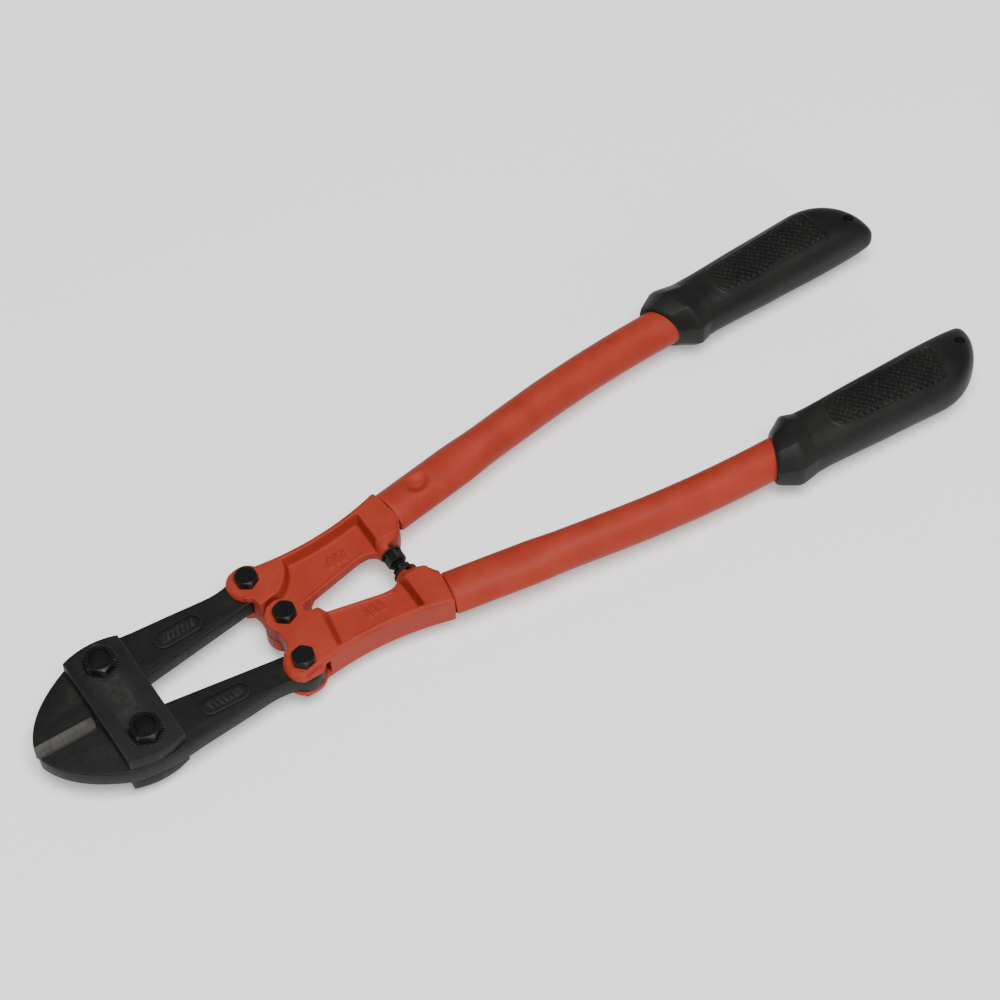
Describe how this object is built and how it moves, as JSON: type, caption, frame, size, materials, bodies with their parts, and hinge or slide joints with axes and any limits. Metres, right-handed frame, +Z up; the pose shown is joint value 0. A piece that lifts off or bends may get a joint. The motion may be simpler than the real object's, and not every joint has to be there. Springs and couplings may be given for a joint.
{
  "type": "bolt cutters",
  "caption": "Centre-cut bolt cutters: black blades between steel straps, cast red heads, red tube handles and moulded black grips, shown closed.",
  "frame": {"origin": "under the middle of the closed tool, on the plane that its strap bolt ends stand on", "axes": "+X along the tool towards the grips, +Y across it towards side a, +Z up, square to the flat of the tool"},
  "size_m": [0.4545, 0.1238, 0.0352],
  "materials": {
    "red_enamel": "semi-matt red-orange enamel over cast and drawn steel",
    "jaw_steel": "black phosphated forged steel, ground bright at the cutting bevels",
    "strap_steel": "dark gunmetal blackened plate",
    "fastener_steel": "black oxide hex bolts, nuts and washers",
    "grip_vinyl": "soft satin black vinyl with a diamond knurl panel"
  },
  "bodies": {
    "straps": {"strap_top": "strap_steel", "strap_bottom": "strap_steel", "strap_bolt_a": "fastener_steel", "strap_bolt_b": "fastener_steel", "tooth_washer_a": "fastener_steel", "tooth_washer_b": "fastener_steel", "strap_nut_a": "fastener_steel", "strap_nut_b": "fastener_steel"},
    "jaw_a": {"jaw_a": "jaw_steel"},
    "jaw_b": {"jaw_b": "jaw_steel"},
    "handle_a": {"head_a": "red_enamel", "tube_a": "red_enamel", "grip_a": "grip_vinyl", "ear_bolt_a": "fastener_steel", "ear_nut_a": "fastener_steel", "stop_screw_a": "fastener_steel"},
    "handle_b": {"head_b": "red_enamel", "tube_b": "red_enamel", "grip_b": "grip_vinyl", "ear_bolt_b": "fastener_steel", "ear_nut_b": "fastener_steel", "stop_screw_b": "fastener_steel", "stop_nut_b": "fastener_steel", "centre_bolt": "fastener_steel", "centre_washer": "fastener_steel", "centre_nut": "fastener_steel"}
  },
  "joints": [
    {"name": "handle_a_hinge", "type": "hinge", "parent": "jaw_a", "child": "handle_a", "pos_m": [-0.11155, 0.0242, 0.01855], "axis": [0, 0, 1], "range_deg": [0, 48]},
    {"name": "jaw_a_hinge", "type": "hinge", "parent": "straps", "child": "jaw_a", "pos_m": [-0.18525, 0.0198, 0.01855], "axis": [0, 0, 1], "range_deg": [-6.5, 0]},
    {"name": "jaw_b_hinge", "type": "hinge", "parent": "straps", "child": "jaw_b", "pos_m": [-0.18525, -0.0198, 0.01855], "axis": [0, 0, 1], "range_deg": [0, 6.5]},
    {"name": "handle_b_hinge", "type": "hinge", "parent": "jaw_b", "child": "handle_b", "pos_m": [-0.11155, -0.0242, 0.01855], "axis": [0, 0, 1], "range_deg": [-48, 0]}
  ],
  "couplings": [
    {"joint": "jaw_a_hinge", "follows": "handle_a_hinge", "ratio": -0.135},
    {"joint": "jaw_b_hinge", "follows": "handle_a_hinge", "ratio": 0.135},
    {"joint": "handle_b_hinge", "follows": "handle_a_hinge", "ratio": -1}
  ]
}
